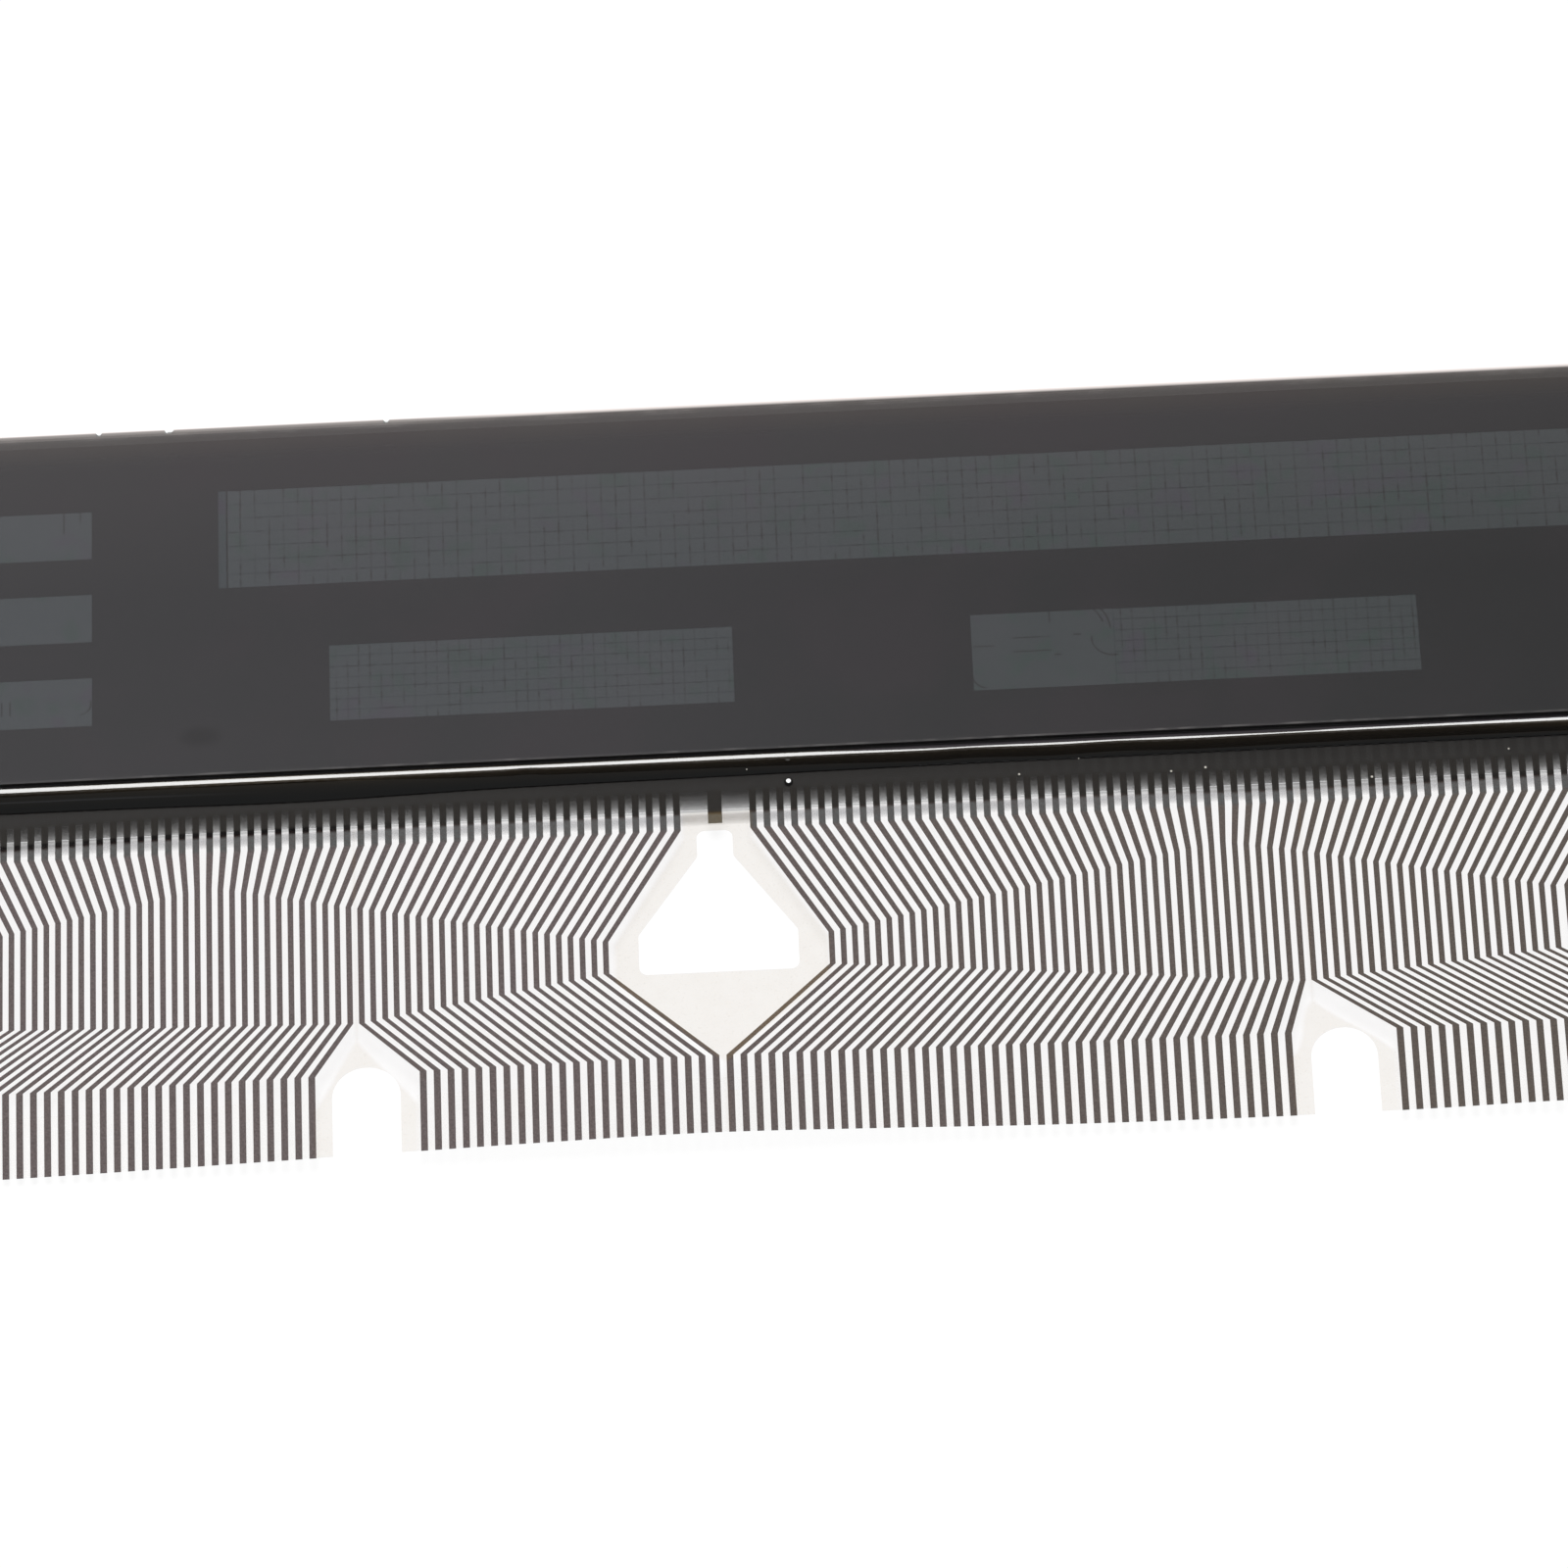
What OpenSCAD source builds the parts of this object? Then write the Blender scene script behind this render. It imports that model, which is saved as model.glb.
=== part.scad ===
// Long dot matrix display for an instrument cluster, with its printed ribbon.
// The display lies on its back: +Z is the viewing side and the ribbon leaves towards -Y.
// Drawing datum: x = 0 is the middle of the glass and y = 0 is the rear glass's front edge.
// placed() then moves everything so that the origin is under the middle of the whole part.

/* [Glass] */
// Length of both glass plates
glass_len = 114; // [112:0.5:124]
// Depth of the rear glass plate
rear_glass_depth = 22.7; // [22.4:0.05:26]
// Depth of the bare ledge of the rear glass that carries the ribbon
ledge_depth = 2.45; // [2.3:0.05:2.8]
// Thickness of each glass plate
glass_thk = 1.1; // [0.7:0.1:1.5]
// Space between the two glass plates
cell_gap = 0.1; // [0.1:0.01:0.3]

/* [Polarising films] */
// Thickness of each polarising film
polarizer_thk = 0.2; // [0.1:0.05:0.4]
// Margin of bare glass at the ends and the near edge of the front polariser
front_margin = 0.1; // [0.05:0.05:0.6]
// Margin of bare glass behind the front polariser
front_back_margin = 0.35; // [0.1:0.05:0.6]
// Margin of bare glass at the ends and the back of the rear polariser
rear_margin = 0.5; // [0.2:0.1:1.5]
// Distance of the rear polariser from the ledge's edge
rear_polarizer_setback = 1.85; // [1:0.05:2.4]

/* [Cell] */
// Width of the glue line that seals the cell
seal_w = 1.0; // [0.6:0.1:1.6]
// Distance of the glue line from the glass's edges
seal_inset = 0.4; // [0.2:0.1:0.8]
// Width of the filling port left open in the glue line
port_w = 3; // [2:0.5:5]
// How far the port's cured plug stands out of the glass's end
plug_out = 0.5; // [0.3:0.1:0.8]
// Width of the plug's bead across the glass's end
plug_w = 5; // [4:0.5:7]
// Thickness of each printed or etched coating
coat_thk = 0.015; // [0.01:0.001:0.018]
// Thickness of the layer of liquid crystal
crystal_thk = 0.025; // [0.01:0.005:0.03]
// Bond line between neighbouring layers
layer_gap = 0.005; // [0.003:0.001:0.006]

/* [Dot matrix] */
// Gap between neighbouring electrodes
dot_gap = 0.06; // [0.03:0.01:0.15]
// Rows of dots in every matrix
dot_rows = 7; // [5:1:7]
// Pitch of the columns in the top row of characters
top_pitch_x = 0.695; // [0.6:0.005:0.7]
// Pitch of the rows in the top row of characters
top_pitch_y = 0.81; // [0.7:0.01:0.85]
// Columns of dots from one character of the top row to the next
char_cols = 6; // [6:1:8]
// Pitch of the columns in the two lower matrices
low_pitch_x = 0.535; // [0.45:0.005:0.54]
// Pitch of the rows in the two lower matrices
low_pitch_y = 0.62; // [0.5:0.01:0.7]
// Columns of dots in the lower left matrix
low_left_cols = 36; // [24:1:36]
// Columns of dots in the lower right matrix
low_right_cols = 27; // [12:1:27]

/* [Windows in the mask] */
// Clear strip of the top window beyond each end of its dots
top_window_end = 0.43; // [0:0.01:0.6]
// Distance of the top window from the glass's back edge
top_back_margin = 2.98; // [2.5:0.02:4]
// Least distance of the top window from the glass's right end
top_right_margin = 3.3; // [2.6:0.1:12]
// Distance of the lower windows from the front glass's near edge
low_margin = 3.7; // [3:0.05:4.5]
// How far the lower left window starts beyond the top window's left edge
low_left_offset = 5.25; // [3:0.05:6]
// How far the lower right window starts beyond the top window's left edge
low_right_offset = 35.9; // [34:0.1:38]
// Length of the plain segments beside the lower right matrix
segment_field = 6.85; // [5:0.05:8]
// Distance of the three stacked windows from the glass's left end
stack_margin = 3.6; // [2.6:0.1:5]
// Length of the stacked windows
stack_len = 17; // [8:0.5:18]
// Plain mask between the stacked windows and the top window
stack_gap = 6.1; // [4:0.1:8]
// Height of each stacked window
stack_h = 2.75; // [1.5:0.05:2.9]
// Distance from one stacked window to the next
stack_step = 4.8; // [3.5:0.1:4.9]
// Distance of the middle stacked window beyond the middle of the front glass
stack_rise = 0.1; // [-0.5:0.025:0.5]

/* [Ribbon film] */
// Thickness of the clear film
film_thk = 0.1; // [0.05:0.01:0.2]
// How far the ribbon reaches beyond the ledge's edge
ribbon_reach = 17.95; // [17.8:0.05:22]
// How far the film is inset from the glass's ends
ribbon_inset = 0.8; // [0.3:0.1:2]
// How far the film laps over the ledge
ribbon_lap = 2.1; // [1.8:0.05:2.2]
// Radius of the film's free corners
film_corner_r = 0.6; // [0.2:0.1:1.5]
// Distance of the bottle-shaped hole's centre line from the glass's left end
hole_end = 50; // [48:0.5:52]
// Width of the hole's neck
neck_w = 1.7; // [1.2:0.05:2.2]
// Distance of the neck's closed end from the ledge's edge
neck_y = 1.05; // [0.9:0.05:1.3]
// Distance of the neck's foot from the ledge's edge
neck_foot_y = 2.5; // [2.1:0.05:2.7]
// Width of the hole's body
body_w = 7.5; // [6:0.1:7.6]
// Distance of the hole's shoulders from the ledge's edge
shoulder_y = 6.75; // [6:0.05:6.9]
// Distance of the hole's base from the ledge's edge
base_y = 9; // [8.2:0.05:9.1]
// Radius of the hole's corners
hole_corner_r = 0.4; // [0.1:0.05:0.5]
// Width of the round-ended left notch
left_notch_w = 3.2; // [2.4:0.1:3.8]
// Depth of the left notch from the film's free edge
left_notch_depth = 4.7; // [3.5:0.1:5]
// Width of the round-ended right notch
right_notch_w = 3.1; // [2.4:0.1:3.8]
// Depth of the right notch from the film's free edge
right_notch_depth = 4.5; // [3.5:0.1:5]
// How far the notches are punched beyond the middle of their gaps in the traces
punch_shift = -0.06; // [-0.1:0.01:0.1]

/* [Printed traces] */
// Pitch of the traces where they are bonded
pitch = 0.65; // [0.62:0.005:0.65]
// Pitch of the squeezed traces half way down the ribbon
mid_pitch = 0.547; // [0.53:0.001:0.56]
// Traces on each side that run at the squeezed pitch
squeeze_count = 62; // [50:1:62]
// Width of a trace where it is bonded
trace_w = 0.32; // [0.2:0.01:0.34]
// Width of a trace half way down the ribbon
mid_trace_w = 0.27; // [0.18:0.01:0.3]
// Thickness of the printed traces
trace_thk = 0.015; // [0.01:0.001:0.02]
// Clear gap in the traces above the hole, centre line to centre line
pad_gap = 3.6; // [3:0.1:4]
// How far the bonded ends are printed beyond the hole's centre line
pad_shift = 0.06; // [-0.1:0.01:0.1]
// Distance between the two traces that pass the hole, centre line to centre line
hole_pass = 10.6; // [9.5:0.1:11]
// Pitches between the two traces that pass a notch
notch_pitches = 8; // [7:1:9]
// Traces between the hole's centre line and the left notch
left_inner = 22; // [18:1:24]
// Traces between the hole's centre line and the right notch
right_inner = 41; // [36:1:42]
// Film left free at the outermost traces
foot_margin = 0.7; // [0.4:0.1:2]
// Distance of the first bend from the ledge's edge
first_bend = 0.95; // [0.75:0.05:1.05]
// Distance of the second bend from the ledge's edge on a trace that runs straight
straight_bend = 2.95; // [2.7:0.05:3.3]
// How much farther the second bend lies for each millimetre of sideways run
fan_rate = 1.15; // [0.9:0.01:1.2]
// Distance of the third bend from the ledge's edge beside the hole
hole_turn = 8.75; // [8.4:0.05:8.95]
// Distance of the third bend from the ledge's edge above the notches
notch_turn = 10.8; // [10.4:0.05:10.9]
// Rise of the third bend from the left notch to the squeezed traces' end
left_rise = 0.8; // [0:0.1:1]
// Rise of the third bend from the right notch to the squeezed traces' end
right_rise = 1.1; // [0:0.1:1.2]
// Distance of the fourth bend from the ledge's edge
foot_bend = 13.6; // [13.2:0.05:13.7]
// Width of the printed alignment mark
mark_w = 0.67; // [0.4:0.01:0.8]
// How far the alignment mark reaches below the ledge's edge
mark_reach = 0.63; // [0.3:0.01:0.8]

/* [Bonds and sealant] */
// Thickness of the conductive adhesive
adhesive_thk = 0.015; // [0.01:0.001:0.02]
// Distance of the ledge's adhesive from the ledge's edge
ledge_bond_y = 0.15; // [0.05:0.05:0.4]
// Height of the adhesive along the ribbon's free edge
board_bond_h = 3; // [2:0.1:4]
// Distance of the board's adhesive from the free edge
board_bond_inset = 0.1; // [0.05:0.05:0.4]
// Width of the glass's contact pads
contact_w = 0.36; // [0.3:0.01:0.45]
// How far the sealant bead stands out of the front glass's edge
bead_out = 0.6; // [0.4:0.05:0.7]
// How far the sealant bead stays below the front glass's face
bead_drop = 0.03; // [0.01:0.01:0.1]
// Power that squares the bead's section, where 1 is elliptic
bead_power = 0.7; // [0.5:0.05:1]
// Inset of the sealant bead from the glass's ends
bead_inset = 0.4; // [0.2:0.1:1]

/* [Hidden] */

// Heights of the layers, from the resting face up
z_rear_glass = polarizer_thk + layer_gap;
z_cell = z_rear_glass + glass_thk;
z_columns = z_cell + layer_gap;
z_crystal = z_columns + coat_thk + layer_gap;
z_front_glass = z_cell + cell_gap;
z_mask = z_front_glass - layer_gap - coat_thk;
z_rows = z_mask - layer_gap - coat_thk;
z_front_polarizer = z_front_glass + glass_thk + layer_gap;
z_adhesive = z_columns + coat_thk + layer_gap;
z_trace = z_adhesive + adhesive_thk + layer_gap;
z_film = z_trace + trace_thk + layer_gap;
z_film_top = z_film + film_thk;

// Middle of the front glass, where the filling port lies too
cell_y = (ledge_depth + rear_glass_depth)/2;

// Middle of the whole part's box
centre_x = plug_out/2;
centre_y = (rear_glass_depth - ribbon_reach)/2;

// As many whole characters as fit in the top row
stack_x = -glass_len/2 + stack_margin;
top_x = stack_x + stack_len + stack_gap;
top_room = glass_len/2 - top_right_margin - top_x - 2*top_window_end;
top_chars = floor((top_room/top_pitch_x + 1)/char_cols);
top_cols = top_chars*char_cols - 1;
top_len = top_cols*top_pitch_x;
top_h = dot_rows*top_pitch_y;

// Windows as [left, lower, width, height]
low_y = ledge_depth + low_margin;
low_h = dot_rows*low_pitch_y;
top_window = [top_x, rear_glass_depth - top_back_margin - top_h, top_len + 2*top_window_end, top_h];
low_left_window = [top_x + low_left_offset, low_y, low_left_cols*low_pitch_x, low_h];
low_right_window = [top_x + low_right_offset, low_y, segment_field + low_right_cols*low_pitch_x, low_h];
stack_windows = [
    for (k = [-1:1]) [stack_x, cell_y + stack_rise + k*stack_step - stack_h/2, stack_len, stack_h]
];

// Cuts between the segments of each stacked window, as shares of its length from the right end
stack_cuts = [[0.03, 0.2, 0.58, 0.8], [0.28, 0.55, 0.8], [0.035, 0.085, 0.25, 0.52, 0.76]];

// Ribbon layout, measured from the hole's centre line
hole_x = -glass_len/2 + hole_end;
film_w = glass_len - 2*ribbon_inset;
left_reach = hole_end - ribbon_inset;
right_reach = film_w - left_reach;
left_count = trace_count(left_reach);
right_count = trace_count(right_reach);
left_gap_x = -notch_centre(left_inner);
right_gap_x = notch_centre(right_inner);
trace_top = ribbon_lap - layer_gap;
bond_depth = ribbon_lap - ledge_bond_y - layer_gap;
contact_end = ledge_depth + seal_inset;
curve_steps = 6;
bead_steps = 14;
right_angle = 90;
$fn = 48;

function trace_count(reach) = floor((reach - foot_margin)/pitch - notch_pitches + 0.5) + 1;
function notch_centre(inner) = pitch*(inner + (notch_pitches - 1)/2);
function pad_x(i) = pad_gap/2 + i*pitch;
function mid_x(i) = hole_pass/2 + mid_pitch*min(i, squeeze_count) + pitch*max(0, i - squeeze_count);
function foot_x(i, inner) = pitch*(i + 0.5 + (i < inner ? 0 : notch_pitches - 1));
function fan_y(i) = straight_bend + fan_rate*abs(pad_x(i) - mid_x(i));
function turn_y(i, inner, rise) = i < inner
    ? hole_turn + (notch_turn - hole_turn)*i/(inner - 1)
    : notch_turn - rise*(min(i, squeeze_count) - inner)/(squeeze_count - inner);

// Centre line of one trace as [x, y, width], from the ledge to the free edge
function trace_line(side, i, inner, rise) = [
    [pad_x(i) + side*pad_shift, trace_top, trace_w],
    [pad_x(i) + side*pad_shift, -first_bend, trace_w],
    [mid_x(i), -fan_y(i), mid_trace_w],
    [mid_x(i), -turn_y(i, inner, rise), mid_trace_w],
    [foot_x(i, inner), -foot_bend, trace_w],
    [foot_x(i, inner), -ribbon_reach, trace_w]
];

// Points of an outline with each corner rounded to its own radius
function unit(v) = v/norm(v);
function corner(a, b, c, r) =
    let(u = unit(a - b), w = unit(c - b), half = acos(u*w)/2)
    let(middle = b + unit(u + w)*r/sin(half), start = b + u*r/tan(half), end = b + w*r/tan(half))
    let(from = start - middle, to = end - middle, sweep = 180 - 2*half)
    [for (k = [0:curve_steps])
        middle + (from*sin(sweep*(1 - k/curve_steps)) + to*sin(sweep*k/curve_steps))/sin(sweep)];
function rounded(p, r) = [
    for (k = [0:len(p) - 1])
        each corner(p[(k + len(p) - 1) % len(p)], p[k], p[(k + 1) % len(p)], r[k])
];

// Half outline of the bottle-shaped hole, neck first
hole_half = [[neck_w/2, -neck_y], [neck_w/2, -neck_foot_y], [body_w/2, -shoulder_y], [body_w/2, -base_y]];
hole_outline = concat(hole_half, [for (k = [3:-1:0]) [-hole_half[k][0], hole_half[k][1]]]);

// Convex edge of the sealant bead in the y-z plane, from its toe up to the glass
bead_top = z_front_glass + glass_thk - bead_drop;
bead_toe_z = z_film_top + layer_gap;
bead_curve = [
    for (k = [0:bead_steps])
        let(t = right_angle*k/bead_steps, out = bead_out*pow(cos(t), bead_power))
        [ledge_depth - out, bead_toe_z + (bead_top - bead_toe_z)*pow(sin(t), bead_power)]
];

module placed() translate([-centre_x, -centre_y, 0]) children();

module slab(x0, y0, w, h, z, thk) placed() translate([x0, y0, z]) cube([w, h, thk]);

module window_cut(window) translate([window[0], window[1]]) square([window[2], window[3]]);

module notch_cut(x, w, depth) translate([x, -ribbon_reach]) {
    translate([0, depth - w/2]) circle(d = w);
    translate([-w/2, -1]) square([w, depth - w/2 + 1]);
}

// Upright strips across a window: the columns of a dot matrix
module columns(window, first, count, step) placed()
    for (k = [0:count - 1])
        translate([window[0] + first + k*step + dot_gap/2, window[1], z_columns])
            cube([step - dot_gap, window[3], coat_thk]);

// Strips along a window: the rows of a dot matrix
module rows(window, first, length, step) placed()
    for (k = [0:dot_rows - 1])
        translate([window[0] + first, window[1] + k*step + dot_gap/2, z_rows])
            cube([length, step - dot_gap, coat_thk]);

module rear_polarizer() color("dimgray")
    slab(-glass_len/2 + rear_margin, rear_polarizer_setback, glass_len - 2*rear_margin,
        rear_glass_depth - rear_polarizer_setback - rear_margin, 0, polarizer_thk);

module rear_glass() color("lightcyan", 0.5)
    slab(-glass_len/2, 0, glass_len, rear_glass_depth, z_rear_glass, glass_thk);

module front_glass() color("lightcyan", 0.5)
    slab(-glass_len/2, ledge_depth, glass_len, rear_glass_depth - ledge_depth, z_front_glass, glass_thk);

module front_polarizer() color([0.28, 0.28, 0.29])
    slab(-glass_len/2 + front_margin, ledge_depth + front_margin, glass_len - 2*front_margin,
        rear_glass_depth - ledge_depth - front_margin - front_back_margin, z_front_polarizer, polarizer_thk);

module black_mask() color([0.12, 0.12, 0.12]) placed()
    translate([0, 0, z_mask]) linear_extrude(coat_thk) difference() {
        translate([-glass_len/2, ledge_depth]) square([glass_len, rear_glass_depth - ledge_depth]);
        window_cut(top_window);
        window_cut(low_left_window);
        window_cut(low_right_window);
        for (window = stack_windows) window_cut(window);
    }

module seal_outline(inset)
    translate([-glass_len/2 + inset, ledge_depth + inset])
        square([glass_len - 2*inset, rear_glass_depth - ledge_depth - 2*inset]);

module cell_seal() color("darkslategray") placed()
    translate([0, 0, z_columns]) linear_extrude(z_mask - layer_gap - z_columns) difference() {
        seal_outline(seal_inset);
        seal_outline(seal_inset + seal_w);
        translate([glass_len/2 - seal_inset - seal_w - 1, cell_y - port_w/2])
            square([seal_w + 2, port_w]);
    }

// A tongue in the port and a low bead of cured resin across the glass's end
module port_plug() color("khaki") placed() {
    translate([glass_len/2 - seal_inset - seal_w, cell_y - port_w/2 + layer_gap, z_columns])
        cube([seal_inset + seal_w, port_w - 2*layer_gap, z_mask - layer_gap - z_columns]);
    bead_r = (plug_w*plug_w/4 + plug_out*plug_out)/(2*plug_out);
    translate([0, cell_y, z_rear_glass + glass_thk/4])
        linear_extrude(cell_gap + glass_thk*3/2) intersection() {
            translate([glass_len/2 + plug_out - bead_r, 0]) circle(r = bead_r, $fn = 180);
            translate([glass_len/2, -plug_w/2]) square([plug_out, plug_w]);
        }
}

module liquid_crystal() color([0.45, 0.47, 0.48])
    slab(-glass_len/2 + seal_inset + seal_w + layer_gap, ledge_depth + seal_inset + seal_w + layer_gap,
        glass_len - 2*(seal_inset + seal_w + layer_gap),
        rear_glass_depth - ledge_depth - 2*(seal_inset + seal_w + layer_gap), z_crystal, crystal_thk);

module top_columns() color([0.4, 0.44, 0.45]) columns(top_window, top_window_end, top_cols, top_pitch_x);

module top_rows() color([0.4, 0.44, 0.45]) rows(top_window, top_window_end, top_len, top_pitch_y);

module lower_left_columns() color([0.4, 0.44, 0.45])
    columns(low_left_window, 0, low_left_cols, low_pitch_x);

module lower_left_rows() color([0.4, 0.44, 0.45])
    rows(low_left_window, 0, low_left_cols*low_pitch_x, low_pitch_y);

module lower_right_columns() color([0.4, 0.44, 0.45])
    columns(low_right_window, segment_field, low_right_cols, low_pitch_x);

module lower_right_rows() color([0.4, 0.44, 0.45])
    rows(low_right_window, segment_field, low_right_cols*low_pitch_x, low_pitch_y);

// Two bars with rounded ends, one above the other, and a round segment beside them
module lower_right_segments() color([0.4, 0.44, 0.45]) placed() {
    bar_h = (low_h - dot_gap)/2;
    disc_r = segment_field/8;
    bar_w = segment_field - 2*disc_r - 3*dot_gap;
    translate([low_right_window[0], low_y, z_columns]) linear_extrude(coat_thk) {
        for (k = [0, 1]) translate([0, k*(bar_h + dot_gap)])
            polygon(rounded([[dot_gap, 0], [bar_w, 0], [bar_w, bar_h], [dot_gap, bar_h]],
                [bar_h/3, dot_gap, bar_h/2, dot_gap]));
        for (k = [0, 1]) translate([bar_w + dot_gap + disc_r, low_h/4 + k*low_h/2])
            circle(r = disc_r, $fn = 24);
    }
}

module lower_right_common() color([0.4, 0.44, 0.45])
    slab(low_right_window[0], low_y, segment_field - dot_gap, low_h, z_rows, coat_thk);

module stacked_segments() color([0.4, 0.44, 0.45]) placed()
    for (k = [0:2]) {
        edges = concat([0], stack_cuts[k], [1]);
        for (j = [0:len(edges) - 2])
            translate([stack_x + (1 - edges[j + 1])*stack_len + dot_gap/2, stack_windows[k][1], z_columns])
                cube([(edges[j + 1] - edges[j])*stack_len - dot_gap, stack_h, coat_thk]);
    }

module stacked_commons() color([0.4, 0.44, 0.45])
    for (window = stack_windows) slab(window[0], window[1], window[2], window[3], z_rows, coat_thk);

module contact_pads() color([0.55, 0.6, 0.62]) placed()
    for (side = [-1, 1])
        for (i = [0:(side < 0 ? left_count : right_count) - 1])
            translate([hole_x + pad_shift + side*pad_x(i) - contact_w/2, ledge_bond_y, z_columns])
                cube([contact_w, contact_end - ledge_bond_y - layer_gap, coat_thk]);

// One printed trace: its centre line widened to both sides, which thins it on the slants
module trace(line) linear_extrude(trace_thk)
    polygon(concat(
        [for (p = line) [p[0] - p[2]/2, p[1]]],
        [for (k = [len(line) - 1:-1:0]) [line[k][0] + line[k][2]/2, line[k][1]]]));

module traces(side, first, last, inner, rise) color([0.36, 0.34, 0.33]) placed()
    translate([hole_x, 0, z_trace])
        for (i = [first:last])
            mirror([side < 0 ? 1 : 0, 0, 0]) trace(trace_line(side, i, inner, rise));

module left_outer_traces() traces(-1, left_inner, left_count - 1, left_inner, left_rise);

module left_inner_traces() traces(-1, 0, left_inner - 1, left_inner, left_rise);

module right_inner_traces() traces(1, 0, right_inner - 1, right_inner, right_rise);

module right_outer_traces() traces(1, right_inner, right_count - 1, right_inner, right_rise);

module alignment_mark() color([0.36, 0.34, 0.33])
    slab(hole_x + pad_shift - mark_w/2, -mark_reach, mark_w, trace_top + mark_reach, z_trace, trace_thk);

module ribbon_film() color([0.95, 0.94, 0.92], 0.4) placed()
    translate([0, 0, z_film]) linear_extrude(film_thk) difference() {
        polygon(rounded([
            [-film_w/2, -ribbon_reach], [film_w/2, -ribbon_reach],
            [film_w/2, ribbon_lap], [-film_w/2, ribbon_lap]
        ], [film_corner_r, film_corner_r, film_corner_r/2, film_corner_r/2]));
        translate([hole_x, 0]) polygon(rounded(hole_outline, [for (p = hole_outline) hole_corner_r]));
        notch_cut(hole_x + left_gap_x + punch_shift, left_notch_w, left_notch_depth);
        notch_cut(hole_x + right_gap_x + punch_shift, right_notch_w, right_notch_depth);
    }

module ledge_adhesive() color([0.8, 0.78, 0.7], 0.4)
    slab(-film_w/2 + layer_gap, ledge_bond_y, film_w - 2*layer_gap, bond_depth, z_adhesive, adhesive_thk);

module board_adhesive() color([0.8, 0.78, 0.7], 0.4) placed()
    translate([0, 0, z_adhesive]) linear_extrude(adhesive_thk) difference() {
        translate([-film_w/2 + foot_margin/2, -ribbon_reach + board_bond_inset])
            square([film_w - foot_margin, board_bond_h]);
        for (x = [left_gap_x, right_gap_x])
            translate([hole_x + x - notch_pitches*pitch/2 + trace_w, -ribbon_reach - 1])
                square([notch_pitches*pitch - 2*trace_w, board_bond_h + 2]);
    }

// Convex bead in the corner between the front glass's edge and the ribbon, stepped over the film's end
module edge_sealant() color([0.07, 0.07, 0.05]) placed()
    translate([-glass_len/2 + bead_inset, 0, 0]) rotate([90, 0, 90])
        linear_extrude(glass_len - 2*bead_inset)
            polygon(concat(bead_curve, [
                [ledge_depth, z_adhesive],
                [ribbon_lap + layer_gap, z_adhesive],
                [ribbon_lap + layer_gap, bead_toe_z]
            ]));

rear_polarizer();
rear_glass();
contact_pads();
cell_seal();
port_plug();
liquid_crystal();
top_columns();
top_rows();
lower_left_columns();
lower_left_rows();
lower_right_columns();
lower_right_rows();
lower_right_segments();
lower_right_common();
stacked_segments();
stacked_commons();
black_mask();
front_glass();
front_polarizer();
ledge_adhesive();
left_outer_traces();
left_inner_traces();
right_inner_traces();
right_outer_traces();
alignment_mark();
ribbon_film();
board_adhesive();
edge_sealant();
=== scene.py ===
"""Looks of a long dot matrix display and its printed ribbon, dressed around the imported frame."""

import math

import bmesh
import bpy
from mathutils import Matrix, Vector


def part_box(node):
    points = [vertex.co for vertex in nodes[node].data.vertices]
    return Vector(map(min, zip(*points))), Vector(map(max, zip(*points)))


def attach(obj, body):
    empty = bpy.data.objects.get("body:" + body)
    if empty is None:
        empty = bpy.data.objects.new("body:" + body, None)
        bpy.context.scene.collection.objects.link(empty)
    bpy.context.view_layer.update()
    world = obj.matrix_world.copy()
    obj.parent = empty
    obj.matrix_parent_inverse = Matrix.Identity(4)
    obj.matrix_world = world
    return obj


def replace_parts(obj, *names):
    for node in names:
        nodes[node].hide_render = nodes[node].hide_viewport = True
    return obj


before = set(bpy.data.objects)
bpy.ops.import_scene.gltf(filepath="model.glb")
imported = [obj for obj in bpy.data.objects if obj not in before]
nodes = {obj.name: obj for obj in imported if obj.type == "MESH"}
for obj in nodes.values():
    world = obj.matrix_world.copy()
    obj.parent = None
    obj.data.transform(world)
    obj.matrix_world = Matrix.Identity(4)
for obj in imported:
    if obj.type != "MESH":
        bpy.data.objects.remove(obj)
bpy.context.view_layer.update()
scene = bpy.context.scene
MM = 0.001


def box_mm(name):
    """Lowest and highest corner of a CAD node, in millimetres."""
    low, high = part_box(name)
    return low/MM, high/MM


GLASS_LOW, GLASS_HIGH = box_mm("rear_glass")
FRONT_LOW, FRONT_HIGH = box_mm("front_glass")
FILM_LOW, FILM_HIGH = box_mm("ribbon_film")
LEDGE_Y = GLASS_LOW.y
GLUE_Y = box_mm("ledge_adhesive")[0].y
# How far the ink's dark end and the painted shadow on the ledge reach past the ledge's edge along the part,
# millimetres
LEDGE_SHADE_SHIFT = [(-41.0, 0.36), (-34.0, 0.15), (-28.0, 0.08), (-20.0, 0.05), (8.0, 0.06), (13.0, 0.12),
               (18.0, 0.26), (24.0, 0.25), (29.0, 0.18), (34.0, 0.08)]


# Camera, as the photograph was taken

CAMERA_ELEVATION = math.radians(57.0)
CAMERA_YAW = math.radians(0.64)
CAMERA_ROLL = math.radians(-3.2253)
# How far it stands from the point that it looks at, metres
CAMERA_DISTANCE = 0.506
CAMERA_AIM = Vector((-3.879, -0.102, 0.0))*MM
# Focal length and width of the sensor, millimetres
LENS = 244.81
SENSOR_WIDTH = 36.0
# Nearest and farthest distance that it sees, metres
CLIP_NEAR = 0.01
CLIP_FAR = 20.0


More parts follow.
